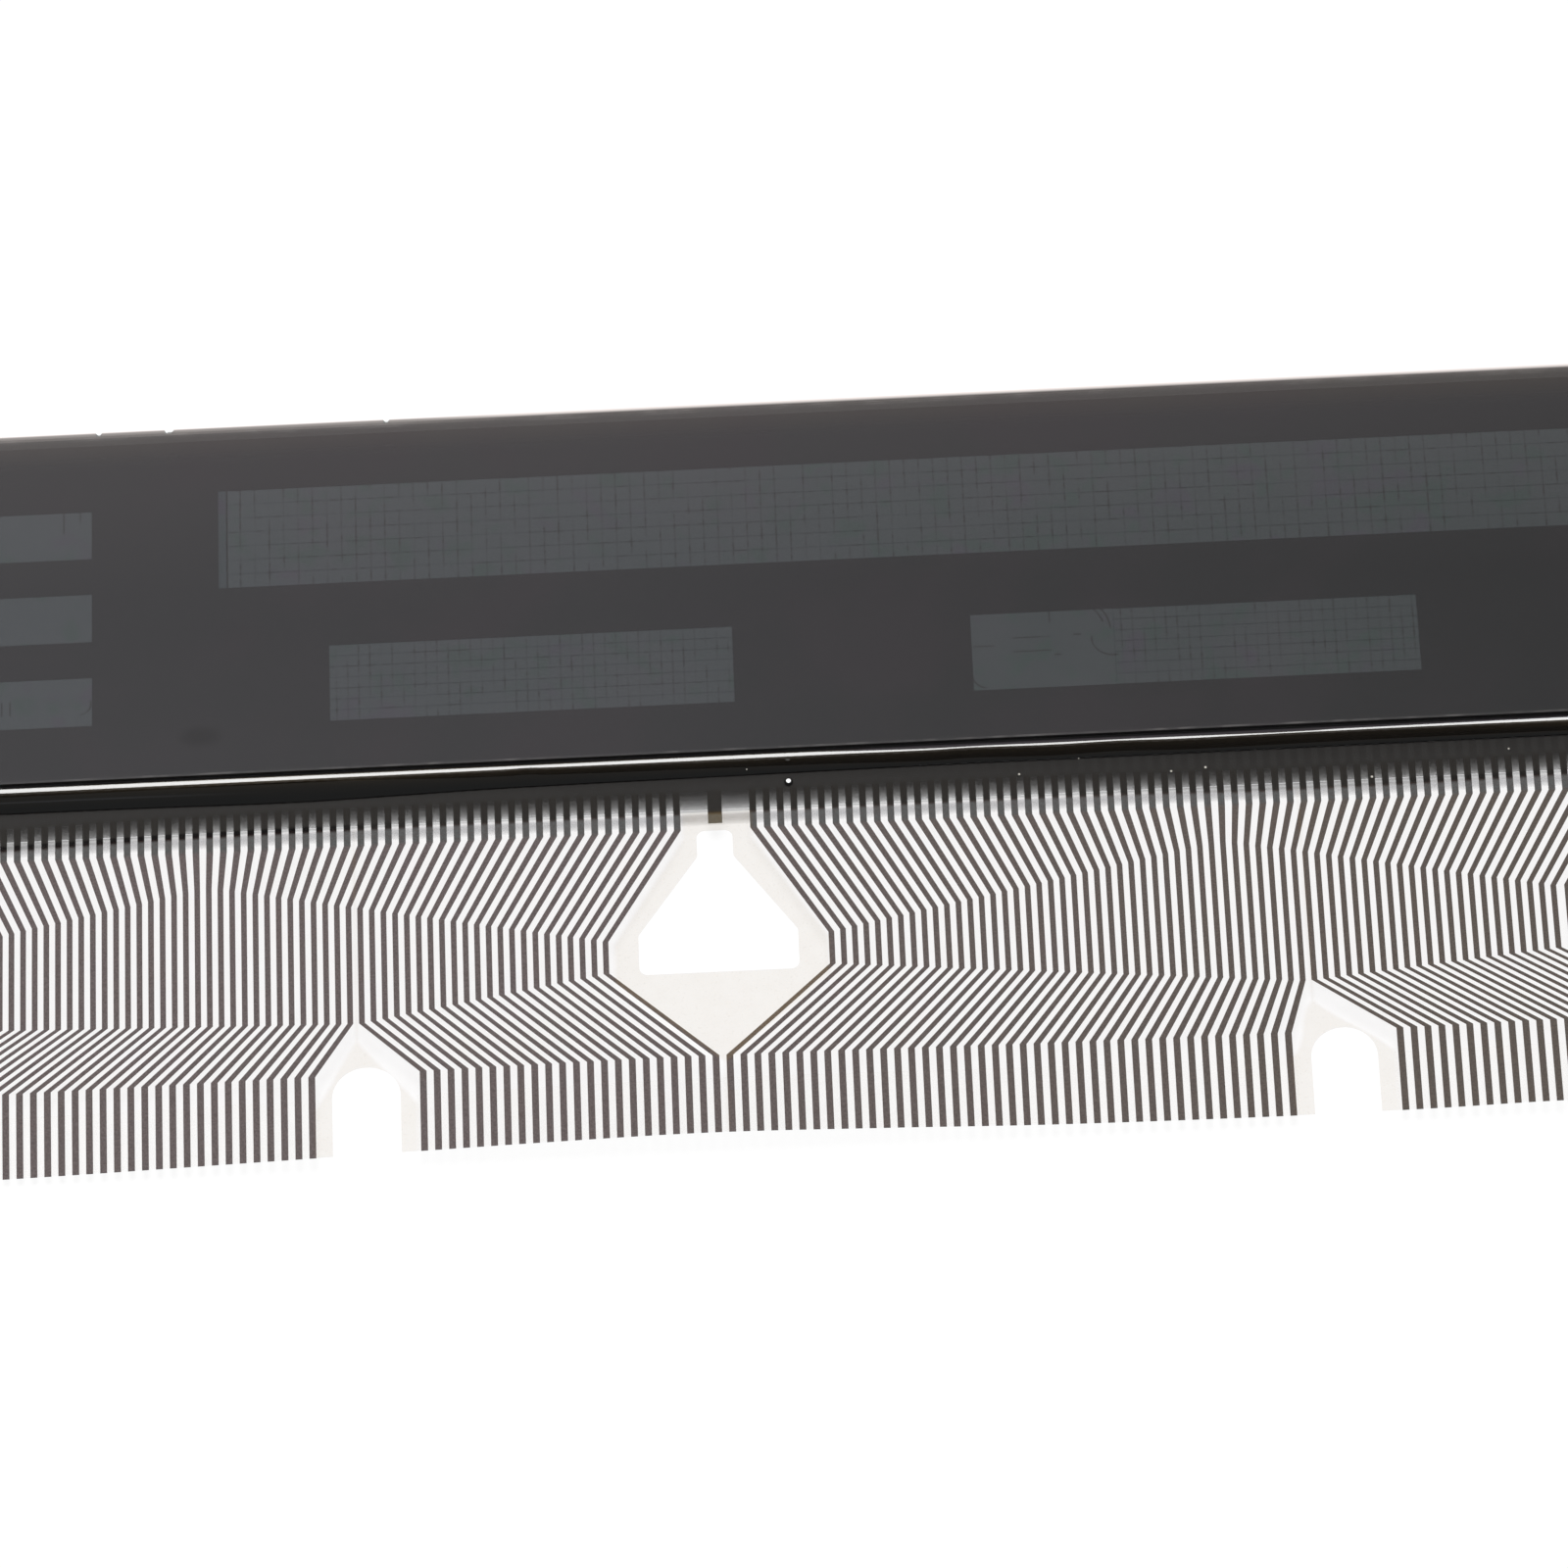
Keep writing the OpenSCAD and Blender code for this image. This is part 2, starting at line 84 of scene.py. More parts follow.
def add_camera():
    data = bpy.data.cameras.new("camera")
    data.lens = LENS
    data.sensor_width = SENSOR_WIDTH
    data.sensor_fit = "HORIZONTAL"
    data.clip_start = CLIP_NEAR
    data.clip_end = CLIP_FAR
    camera = bpy.data.objects.new("camera", data)
    scene.collection.objects.link(camera)
    turn = (Matrix.Rotation(CAMERA_YAW, 4, "Z")
            @ Matrix.Rotation(math.pi/2 - CAMERA_ELEVATION, 4, "X")
            @ Matrix.Rotation(CAMERA_ROLL, 4, "Z"))
    back = turn.to_3x3() @ Vector((0.0, 0.0, 1.0))
    camera.matrix_world = Matrix.Translation(CAMERA_AIM + back*CAMERA_DISTANCE) @ turn
    scene.camera = camera


# Shader maths

WHITE = (1.0, 1.0, 1.0, 1.0)
# Where a Mix node takes its two colours and gives the mixed one
MIX_FIRST, MIX_SECOND, MIX_RESULT = 6, 7, 2
# How strongly the finer layers of soft noise show
CLOUD_ROUGHNESS = 0.55


def tone(red, green, blue):
    """A screen colour from 0 to 255 as the linear colour that a shader takes."""
    def linear(level):
        share = level/255
        return share/12.92 if share < 0.04045 else ((share + 0.055)/1.055)**2.4
    return linear(red), linear(green), linear(blue), 1.0


class Value:
    """An output socket that can stand in a Python expression."""

    def __init__(self, maker, socket):
        self.maker = maker
        self.socket = socket

    def join(self, operation, first, second=0.0):
        return self.maker.node("ShaderNodeMath", {"operation": operation}, {0: first, 1: second})

    def __add__(self, other):
        return self.join("ADD", self, other)

    def __radd__(self, other):
        return self.join("ADD", other, self)

    def __sub__(self, other):
        return self.join("SUBTRACT", self, other)

    def __rsub__(self, other):
        return self.join("SUBTRACT", other, self)

    def __mul__(self, other):
        return self.join("MULTIPLY", self, other)

    def __rmul__(self, other):
        return self.join("MULTIPLY", other, self)

    def __truediv__(self, other):
        return self.join("DIVIDE", self, other)

    def size(self):
        return self.join("ABSOLUTE", self)

    def most(self, other):
        return self.join("MAXIMUM", self, other)

    def least(self, other):
        return self.join("MINIMUM", self, other)

    def rise(self, start, end):
        """0 below start, 1 above end and a smooth climb between them."""
        return self.maker.node("ShaderNodeMapRange", {"interpolation_type": "SMOOTHSTEP"},
                               {"Value": self, "From Min": start, "From Max": end})

    def within(self, low, high, soft):
        """1 between low and high, fading out across each of them over a width of soft."""
        middle = (low + high)/2
        half = (high - low)/2
        return 1 - (self - middle).size().rise(half - soft/2, half + soft/2)

    def every(self, step):
        """Distance to the nearest multiple of step."""
        return self.join("PINGPONG", self, step/2)


class Nodes:
    """A node tree, with the one method that adds to it."""

    def __init__(self, tree):
        self.tree = tree

    def feed(self, target, value):
        """Links a Value to an input socket, or sets it to a constant."""
        if isinstance(value, Value):
            self.tree.links.new(value.socket, target)
        else:
            target.default_value = value

    def node(self, kind, settings=None, values=None, output=0):
        """Adds a node and gives one of its outputs. The setting stops fills its colour ramp."""
        made = self.tree.nodes.new(kind)
        for name, value in (settings or {}).items():
            if name == "stops":
                ramp = made.color_ramp.elements
                for place, colour in value[len(ramp):]:
                    ramp.new(place)
                for element, (place, colour) in zip(ramp, value):
                    element.position = place
                    element.color = colour
            else:
                setattr(made, name, value)
        for name, value in (values or {}).items():
            self.feed(made.inputs[name], value)
        return Value(self, made.outputs[output])


class Finish(Nodes):
    """A material on Object coordinates in millimetres. Its constants sit on the shader's own sockets."""

    def __init__(self, name, **constants):
        self.material = bpy.data.materials.new(name)
        self.material.use_nodes = True
        super().__init__(self.material.node_tree)
        self.shader = self.tree.nodes["Principled BSDF"]
        for socket, value in constants.items():
            self.shader.inputs[socket.replace("_", " ")].default_value = value
        metres = self.node("ShaderNodeTexCoord", output="Object")
        self.place = self.node("ShaderNodeVectorMath", {"operation": "SCALE"}, {0: metres, "Scale": 1/MM})
        self.x, self.y, self.z = (self.node("ShaderNodeSeparateXYZ", None, {0: self.place}, axis)
                                  for axis in "XYZ")

    def show(self, **values):
        """Feeds the shader's sockets and gives the material."""
        for socket, value in values.items():
            self.feed(self.shader.inputs[socket.replace("_", " ")], value)
        return self.material

    def mix(self, factor, first, second):
        """The first colour where factor is 0, the second where it is 1."""
        return self.node("ShaderNodeMix", {"data_type": "RGBA"},
                         {0: factor, MIX_FIRST: first, MIX_SECOND: second}, MIX_RESULT)

    def clouds(self, size, detail=2.0, stretch=(1.0, 1.0, 1.0), shift=0.0):
        """Soft noise from about 0.3 to 0.7, with features of that size in millimetres."""
        vector = self.node("ShaderNodeMapping", None, {
            "Vector": self.place, "Location": (shift, shift, shift),
            "Scale": tuple(1/(size*share) for share in stretch)})
        return self.node("ShaderNodeTexNoise", None, {"Vector": vector, "Scale": 1.0, "Detail": detail,
                                                      "Roughness": CLOUD_ROUGHNESS})

    def bump(self, height, distance):
        """A normal bent by height, where 1 stands for that distance in millimetres."""
        return self.node("ShaderNodeBump", None,
                         {"Strength": 1.0, "Distance": distance*MM, "Height": height})

    def curve(self, value, stops):
        """A level that follows value through (value, level) stops."""
        first, last = stops[0][0], stops[-1][0]
        share = (value - first)/(last - first)
        grey = [((place - first)/(last - first), (level, level, level, 1.0)) for place, level in stops]
        return self.node("ShaderNodeValToRGB", {"stops": grey}, {0: share})

    def ledge_reach(self):
        """Distance in from the ledge's edge, shifted a little unevenly along the part for the painted shadow
        and the ink's dark end.
        """
        return self.y - LEDGE_Y + self.curve(self.x, LEDGE_SHADE_SHIFT)

    def spot(self, place, radii, soft=0.5):
        """A soft-edged oval, 1 in its middle."""
        across = (self.x - place[0])/radii[0]
        along = (self.y - place[1])/radii[1]
        return 1 - (across*across + along*along).rise(1 - soft, 1 + soft)


# Finishes

# Places and sizes are in millimetres, in the part's frame. A curve is a list of pairs, each of a place and
# the level there.

# A face's own colour ends within a few times this depth
SKIN = 0.002
# How strong the painted sheen on the front film is along the part, strongest at the left
FRONT_SHEEN = [(-42.0, 0.88), (-13.0, 0.83), (3.0, 0.5), (34.0, 0.0)]
# Middle and radii of the dark smudge on the front film
SMUDGE = ((-31.4, 2.4), (0.9, 0.5))


def front_film():
    """Satin grey polarising film with painted sheen, lighter at the left and far side, with dark cut edges
    and a painted highlight just inside them.
    """
    finish = Finish("front_polarizer_face", Roughness=0.36, IOR=1.5)
    low, high = box_mm("front_polarizer")
    edge = ((finish.x - low.x).least(high.x - finish.x)).least((finish.y - low.y).least(high.y - finish.y))
    far_edge = finish.y.rise(high.y - 0.08, high.y - 0.03)
    cut = (1 - edge.rise(0.01, 0.02))*(1 - far_edge*(1 - finish.x.rise(-24.0, -12.0)*0.5))
    # Painted highlight: a pale line just inside every cut edge
    edge_highlight = edge.within(0.02, 0.12, 0.04)*(0.15 + 0.4*finish.clouds(1.5, shift=3.0).rise(0.45, 0.7))
    # Painted sheen: lighter at the left, towards the far side and along the far edge
    left_sheen = finish.curve(finish.x, FRONT_SHEEN)
    colour = finish.mix(left_sheen, tone(42, 42, 43), tone(59, 58, 61))
    colour = finish.mix(finish.y.rise(8.0, 21.0)*(0.6 + left_sheen*0.28), colour, tone(76, 73, 75))
    far_sheen = finish.mix(left_sheen, tone(80, 74, 71), tone(92, 86, 85))
    colour = finish.mix(finish.y.rise(18.0, 20.1), colour, far_sheen)
    colour = finish.mix(finish.clouds(6.0).rise(0.4, 0.7)*0.15, colour, tone(76, 62, 70))
    smudge = finish.spot(*SMUDGE, 0.9)*0.35
    colour = finish.mix(smudge.most(cut), colour, tone(12, 12, 12))
    colour = finish.mix(edge_highlight, colour, tone(140, 136, 134))
    grain = finish.bump(finish.clouds(0.12), 0.0012)
    return finish.show(Base_Color=colour, Alpha=0.28 + (cut*0.7).most(edge_highlight*0.2), Normal=grain)


# How dense clear glass looks, and how much denser where it is wiped in streaks
GLASS_ALPHA = 0.008


def clear_glass(name):
    """Clear float glass with a faintly green depth and a few wiped streaks."""
    finish = Finish(name, Roughness=0.04, IOR=1.5)
    streaks = finish.clouds(2.0, 1.0, (6.0, 1.0, 1.0))
    colour = finish.mix(streaks, tone(110, 124, 120), tone(130, 138, 136))
    return finish, colour, GLASS_ALPHA + streaks*GLASS_ALPHA


# How pale the far margin is painted, as light caught in the glass edge, by the distance in from its edge, at
# the left and at the right
LEFT_MARGIN = [(0.0, 0.85), (0.05, 0.36), (0.1, 0.25), (0.2, 0.2), (0.33, 0.17)]
RIGHT_MARGIN = [(0.0, 0.8), (0.06, 0.66), (0.12, 0.48), (0.18, 0.18), (0.33, 0.17)]
# Where the painted pale margin ends, and the dark one on the underside
EDGE_LIGHT_END = (0.33, 0.37)
DARK_END = (1.0, 1.3)
# Where the chips' white begins and is full, down from the upper face
CHIP_WHITE = (0.2, 0.12)


def front_plate():
    """Front glass: its far margin is painted pale with light caught in the edge, palest at the edge and dark
    underneath. Its chips are white.
    """
    finish, colour, alpha = clear_glass("front_glass_plate")
    inward = FRONT_HIGH.y - finish.y
    under = 1 - finish.z.rise(FRONT_LOW.z + SKIN, FRONT_LOW.z + 2*SKIN)
    margin = finish.mix(under, 1 - inward.rise(*EDGE_LIGHT_END), 1 - inward.rise(*DARK_END))
    left = finish.curve(inward, LEFT_MARGIN)
    right = finish.curve(inward, RIGHT_MARGIN)
    level = finish.mix(finish.x.rise(-22.0, -15.0), left, right)
    edge_light = finish.mix(level, tone(0, 0, 0), tone(255, 246, 242))
    # Painted light: the far side face is lighter towards its top
    side = 1 - finish.z.rise(FRONT_HIGH.z - 4*SKIN, FRONT_HIGH.z - 2*SKIN)
    upper = finish.z.rise(FRONT_LOW.z, FRONT_HIGH.z)
    edge_light = finish.mix(side, edge_light, finish.mix(upper, tone(66, 68, 67), tone(112, 114, 112)))
    chips = 0.0
    for place, width, depth in GLASS_CHIPS:
        chips = finish.spot((place, FRONT_HIGH.y), (width*0.5, depth*1.2), 0.3) + chips
    chips = chips*finish.z.rise(FRONT_HIGH.z - CHIP_WHITE[0], FRONT_HIGH.z - CHIP_WHITE[1])
    colour = finish.mix(under, finish.mix(margin, colour, edge_light), tone(14, 13, 13))
    colour = finish.mix(chips, colour, WHITE)
    return finish.show(Base_Color=colour, Alpha=alpha.most(margin*0.97))


# How dense the painted blue-grey shadow on the ledge's cut face is, from its foot to its upper edge
CUT_FACE_SHADOW = [(GLASS_LOW.z, 0.02), (GLASS_LOW.z + 0.18, 0.24), (GLASS_LOW.z + 0.41, 0.45),
            (GLASS_LOW.z + 0.64, 0.52), (GLASS_HIGH.z - 0.23, 0.48), (GLASS_HIGH.z - 0.1, 0.3),
            (GLASS_HIGH.z - 0.04, 0.05)]
# How dense the painted shadow is that creeps over the ledge's edge, by the distance in from where it ends
CREPT_SHADOW = [(-0.05, 0.0), (0.05, 0.12), (0.15, 0.36), (0.25, 0.5), (0.35, 0.6)]
# How much of its reach that painted shadow loses for each millimetre down the cut face
SHADOW_LEAN = 0.65


def rear_plate():
    """Rear glass: the ledge's cut face carries a painted blue-grey shadow, clear along its upper edge, and a
    dark painted shadow creeps over the edge.
    """
    finish, colour, alpha = clear_glass("rear_glass_plate")
    face = 1 - finish.y.rise(LEDGE_Y + SKIN, LEDGE_Y + 2*SKIN)
    depth = finish.curve(finish.z, CUT_FACE_SHADOW)
    over_edge = finish.ledge_reach() + (finish.z - GLASS_HIGH.z)*SHADOW_LEAN
    upper = finish.z.rise(GLASS_HIGH.z - 5*SKIN, GLASS_HIGH.z - 2.5*SKIN)
    crept_shadow = finish.curve(over_edge, CREPT_SHADOW)
    crept_shadow = crept_shadow*(face.most(upper*(1 - finish.y.rise(GLUE_Y - 0.01, GLUE_Y + 0.01))))
    far_face = finish.y.rise(GLASS_HIGH.y - 2*SKIN, GLASS_HIGH.y - SKIN)
    # Painted shadow: blue-grey on the cut face, dark where it creeps over the edge
    colour = finish.mix(face, colour, tone(104, 109, 118))
    colour = finish.mix(crept_shadow.rise(0.0, 0.2), colour, tone(35, 33, 33))
    colour = finish.mix(far_face, colour, tone(66, 74, 72))
    return finish.show(Base_Color=colour, Alpha=1 - (1 - alpha - face*depth)*(1 - crept_shadow)*(1 - far_face*0.9))


# Gap between two dots, and the rows of dots in every matrix
DOT_GAP = 0.06
DOT_ROWS = 7
# Each matrix: its name, its columns, how far its lines lie to the right, how much wider apart, and how
# strongly the upright and the level ones show
DOT_MATRICES = [("top", 119, -0.07, 1.0022, 1.3, 0.65), ("lower_left", 36, -0.21, 1.0, 0.95, 0.55),
                ("lower_right", 27, -0.21, 1.0, 0.95, 0.38)]
# How far past the outer dots the lines reach, and how softly they end
LINES_PAST = 0.1
LINES_SOFT = 0.05
# How far from its middle a hairline begins to fade, and is gone
HAIRLINE = (0.03, 0.06)


def dot_lines(finish, part, columns, shift, stretch):
    """Dark hairlines between the dots of one matrix, as far to one side as the photograph shows them."""
    low, high = box_mm(part + "_columns")
    flat_low, flat_high = box_mm(part + "_rows")
    inside = (finish.x.within(low.x - LINES_PAST, high.x + LINES_PAST, LINES_SOFT)
              * finish.y.within(flat_low.y - LINES_PAST, flat_high.y + LINES_PAST, LINES_SOFT))
    step_x = (high.x - low.x + DOT_GAP)/columns*stretch
    step_y = (flat_high.y - flat_low.y + DOT_GAP)/DOT_ROWS
    across = (finish.x - (low.x - DOT_GAP/2 + shift)).every(step_x)
    along = (finish.y - (flat_low.y - DOT_GAP/2)).every(step_y)
    return inside*(1 - across.rise(*HAIRLINE)), inside*(1 - along.rise(*HAIRLINE))


# Hairlines in the plain windows: the lowest and highest corner of each straight one, and the middle, the
# radius and the shown stretch of each ring
SEGMENT_LINES = [((9.08, 7.5), (9.16, 8.5)), ((7.3, 6.66), (9.1, 6.74)), ((7.3, 5.87), (9.15, 5.95)),
                 ((5.4, 6.26), (6.4, 6.34)), ((-38.04, 15.3), (-37.95, 16.9)),
                 ((-37.24, 15.9), (-37.17, 16.7)), ((-41.0, 4.9), (-40.92, 5.7)),
                 ((-40.6, 4.9), (-40.52, 5.7)), ((9.25, 5.6), (9.6, 5.7)), ((10.2, 6.7), (10.6, 6.8))]
SEGMENT_RINGS = [((12.1, 6.5), 1.02, (11.0, 5.3), (12.3, 6.6)),
                 ((10.0, 6.95), 1.72, (11.1, 7.4), (11.8, 8.5)),
                 ((10.0, 6.95), 2.0, (11.3, 7.0), (12.1, 8.5)),
                 ((6.1, 4.7), 0.8, (5.3, 3.9), (6.0, 4.8)),
                 ((-37.3, 5.4), 0.6, (-37.2, 4.7), (-36.6, 5.6))]
# How softly a straight hairline and a ring's stretch end
STRAIGHT_SOFT = 0.04
RING_SOFT = 0.1


def segment_lines(finish):
    """Hairlines round the plain segments: straight stretches, and stretches of rings."""
    lines = 0.0
    for low, high in SEGMENT_LINES:
        wide = finish.x.within(low[0], high[0], STRAIGHT_SOFT)
        lines = wide*finish.y.within(low[1], high[1], STRAIGHT_SOFT) + lines
    for place, radius, low, high in SEGMENT_RINGS:
        across, along = finish.x - place[0], finish.y - place[1]
        # This grows by about twice the radius for each millimetre off the ring
        off = (across*across + along*along - radius*radius).size()
        ring = 1 - off.rise(2*radius*HAIRLINE[0], 2*radius*HAIRLINE[1])
        wide = ring*finish.x.within(low[0], high[0], RING_SOFT)
        lines = wide*finish.y.within(low[1], high[1], RING_SOFT) + lines
    return lines.least(1.0)


def crystal():
    """The fluid layer in the windows: grey, with cold blotches and the dark gaps between electrodes."""
    finish = Finish("liquid_crystal_layer", Roughness=0.5, Specular_IOR_Level=0.0)
    upright = level = 0.0
    for part, columns, shift, stretch, upright_show, level_show in DOT_MATRICES:
        across, along = dot_lines(finish, part, columns, shift, stretch)
        upright = across*upright_show + upright
        level = along*level_show + level
    patchy = 0.35 + 0.65*finish.clouds(0.45, 1.0, shift=3.0).rise(0.48, 0.62)
    upright = upright*patchy*finish.clouds(1.1, 1.0, (0.6, 1.6, 1.0)).rise(0.3, 0.6)
    level = level*patchy*finish.clouds(1.1, 1.0, (1.8, 0.6, 1.0), 7.0).rise(0.3, 0.6)
    start = box_mm("top_columns")[0].x
    first = finish.x.within(start - 0.08, start, 0.03)*finish.y.rise(11.0, 11.5)
    marks = segment_lines(finish)*(0.45 + 0.55*finish.clouds(0.6, 1.0, shift=4.0).rise(0.2, 0.5))
    teal = finish.clouds(1.6, shift=2.0).rise(0.52, 0.68)
    violet = finish.clouds(2.2, shift=9.0).rise(0.58, 0.72)
    # Painted sheen: lighter towards the left
    left_sheen = 1 - finish.x.rise(-45.0, 35.0)
    colour = finish.mix(left_sheen, tone(51, 58, 60), tone(55, 62, 66))
    colour = finish.mix(teal*0.7, colour, tone(38, 60, 54))
    colour = finish.mix(violet*0.6, colour, tone(58, 50, 66))
    lines = upright.most(level).most(first).most(marks)
    colour = finish.mix(lines.least(1.0), colour, tone(8, 10, 11))
    return finish.show(Base_Color=colour)


def conductive_coat(name, alpha, level):
    """A clear conductive coating, seen only by its faint tint."""
    finish = Finish(name, Roughness=0.15, IOR=1.8)
    dull, bright = tone(level, level + 6, level + 5), tone(level + 14, level + 16, level + 18)
    return finish.show(Base_Color=finish.mix(finish.clouds(3.0), dull, bright),
                       Alpha=alpha + finish.clouds(1.4)*alpha*0.3)


def mask_ink():
    finish = Finish("matt_black_mask", Specular_IOR_Level=0.0)
    colour = finish.mix(finish.clouds(5.0), tone(14, 13, 14), tone(20, 18, 19))
    return finish.show(Base_Color=colour, Roughness=0.7 + finish.clouds(0.8)*0.2)


def rear_film():
    finish = Finish("rear_polarizer_back", IOR=1.5)
    colour = finish.mix(finish.clouds(8.0, 3.0), tone(54, 54, 58), tone(66, 64, 68))
    return finish.show(Base_Color=colour, Roughness=0.3 + finish.clouds(2.0)*0.1,
                       Normal=finish.bump(finish.clouds(0.15), 0.001))


# How dark the ink looks at the ledge's edge, along the part
DARK_INK_ENDS = [(-42.0, 0.9), (-27.0, 1.0), (-22.0, 0.25), (-18.0, 0.0), (22.0, 0.0), (28.0, 0.5), (34.0, 0.3)]


def trace_ink():
    """Matt carbon ink: brown-black where the ledge backs it, grey and grainy on the free film. Painted sheen
    lightens it at the left, and painted shade darkens it just past the ledge's edge.
    """
    finish = Finish("carbon_ink_traces", Roughness=0.75, Specular_IOR_Level=0.0)
    out = finish.ledge_reach()
    over_ledge = out.rise(-0.16, 0.06)
    # Painted sheen: lighter towards the left
    left = 1 - finish.x.rise(-20.0, 30.0)
    grey = finish.mix(left, tone(85, 81, 76), tone(95, 89, 89))
    # Painted shade: darker and bluer within about a millimetre past the ledge's edge
    grey = finish.mix(finish.y.rise(LEDGE_Y - 1.1, LEDGE_Y - 0.8), grey, tone(79, 83, 83))
    grain = finish.clouds(0.09).rise(0.35, 0.65)
    grey = finish.mix(grain*0.5, grey, tone(62, 59, 58))
    dark = finish.mix(grain*0.5, tone(39, 37, 35), tone(46, 44, 41))
    dark_ink_end = (1 - out.rise(0.22, 0.36))*finish.curve(finish.x, DARK_INK_ENDS)
    dark = finish.mix(dark_ink_end, dark, tone(10, 8, 8))
    dark = finish.mix(out.rise(1.1, 1.5), dark, tone(47, 46, 45))
    return finish.show(Base_Color=finish.mix(over_ledge, grey, dark),
                       Normal=finish.bump(grain, 0.004))


# The stretches of film that carry no traces, round the hole and each notch: the middle, how far it leans to
# the left towards the glass, and the curve of its half width along the way in, in centimetres
BARE_FILM = [(-7.12, 0.0, [(-16.4, 0.0), (-11.7, 0.5), (-9.6, 0.5), (-3.9, 0.16)]),
             (-23.885, 0.4, [(-20.4, 0.235), (-17.8, 0.235), (-14.2, 0.0)]),
             (21.615, 1.3, [(-20.4, 0.235), (-17.3, 0.235), (-14.3, 0.0)])]
# Millimetres in one
CENTIMETRE = 10


def clear_film():
    """Clear polyester, faintly smoky and warm, densest round the hole and the notches."""
    finish = Finish("clear_ribbon_film", Roughness=0.22, IOR=1.5)
    mottle = finish.clouds(0.9, 3.0).rise(0.35, 0.7)
    specks = finish.clouds(0.16, 1.0, shift=5.0).rise(0.62, 0.75)
    bare = 0.0
    for middle, lean, widths in BARE_FILM:
        half = finish.curve(finish.y, widths)*CENTIMETRE
        lean_start, lean_end = widths[-2][0], widths[-1][0]
        off = finish.x - middle + finish.y.rise(lean_start, lean_end)*lean
        bare = 1 - (off.size() - half).rise(-0.15, 0.2) + bare
    bare = bare.least(1.0)
    over_ledge = finish.ledge_reach().rise(-0.05, 0.05)
    colour = finish.mix(bare, tone(110, 66, 54), tone(134, 101, 6))
    colour = finish.mix(over_ledge, colour, tone(42, 40, 40))
    return finish.show(Base_Color=colour,
                       Alpha=0.028 + over_ledge*0.02 + mottle*0.01 + bare*(0.059 + specks*0.03))


# How dense the bond on the ledge is, as a painted shadow, by the distance in from where it ends
BOND_SHADOW = [(0.2, 0.28), (0.27, 0.34), (0.4, 0.47), (0.55, 0.6), (0.75, 0.72), (0.95, 0.83), (1.15, 0.91),
              (1.35, 0.96), (1.6, 0.985)]


def ledge_glue_shadow():
    """The bond on the ledge, painted with a shadow: nearly black at the bead, thinner towards the ledge's
    edge.
    """
    finish = Finish("ledge_bond_shadow", Specular_IOR_Level=0.0)
    depth = finish.curve(finish.ledge_reach(), BOND_SHADOW)
    uneven = (finish.clouds(0.35) - 0.5)*0.12
    colour = finish.mix(finish.x.rise(0.0, 20.0), tone(46, 45, 44), tone(42, 41, 40))
    colour = finish.mix(finish.clouds(0.8)*0.2, colour, tone(54, 52, 50))
    return finish.show(Base_Color=colour, Alpha=depth + uneven*(1 - depth))


def board_glue():
    finish = Finish("board_bond", Roughness=0.35)
    colour = finish.mix(finish.clouds(0.5, 3.0), tone(222, 218, 206), tone(206, 202, 190))
    return finish.show(Base_Color=colour, Alpha=0.02 + finish.clouds(0.3, 3.0)*0.03)


# How strong the painted brown reflection on the bead is along the part
BEAD_BROWN_REFLECTION = [(-41.0, 0.3), (-27.0, 0.9), (-17.0, 0.4), (26.0, 0.2), (34.0, 0.7)]


def sealant():
    """Glossy black resin in soft swells, with painted reflections: a black flare browning at its top, a
    brown cheek, a blue-grey line at the left, a violet-grey top at the right.
    """
    finish = Finish("sealant_bead", IOR=1.5)
    height = finish.z - FILM_HIGH.z
    places = sorted({x for x, reach in TOE_REACH + SHOULDER_END})
    share = height/finish.curve(finish.x, [(x, knee_height(x)) for x in places])
    brown = finish.curve(finish.x, BEAD_BROWN_REFLECTION)
    # Painted reflections: the flare browns towards its top, and the cheek is brown-grey, browner higher up
    flare = finish.mix(share.rise(0.2, 0.7), tone(1, 2, 2), tone(11, 9, 6))
    flare = finish.mix(share.rise(0.6, 1.0)*brown, flare, tone(26, 21, 13))
    cheek = finish.mix(finish.clouds(6.0), tone(34, 31, 28), tone(42, 37, 31))
    cheek = finish.mix(height.rise(0.4, 0.8)*brown, cheek, tone(58, 50, 38))
    colour = finish.mix(share.rise(0.95, 1.1), flare, cheek)
    # Painted reflection: a blue-grey line along the cheek at the left
    crease_reflection = height.within(0.42, 0.5, 0.05)*(1 - finish.x.rise(-36.0, -28.0))
    colour = finish.mix(crease_reflection, colour, tone(32, 32, 33))
    # Painted reflection: violet-grey on the level top at the right
    flat_top_reflection = finish.y.rise(FRONT_LOW.y - 0.17, FRONT_LOW.y - 0.12)*finish.x.rise(-3.0, 1.0)
    colour = finish.mix(flat_top_reflection, colour, tone(44, 41, 44))
    swell = finish.clouds(2.5, 1.0, (3.0, 1.0, 1.0))*0.02 + finish.clouds(0.3, 1.0)*0.0015
    return finish.show(Base_Color=colour, Roughness=0.07 + finish.clouds(0.7)*0.06,
                       Normal=finish.bump(swell, 1.0))


def seal_epoxy():
    finish = Finish("cell_seal_epoxy", Roughness=0.5)
    return finish.show(Base_Color=finish.mix(finish.clouds(0.6), tone(70, 76, 76), tone(92, 96, 92)))


def plug_resin():
    """Clear amber resin that closes the filling port."""
    finish = Finish("port_plug_resin", Roughness=0.12, IOR=1.52)
    colour = finish.mix(finish.clouds(1.0), tone(206, 186, 132), tone(222, 206, 160))
    return finish.show(Base_Color=colour, Alpha=0.75 + finish.clouds(0.8)*0.2,
                       Normal=finish.bump(finish.clouds(1.2), 0.03))


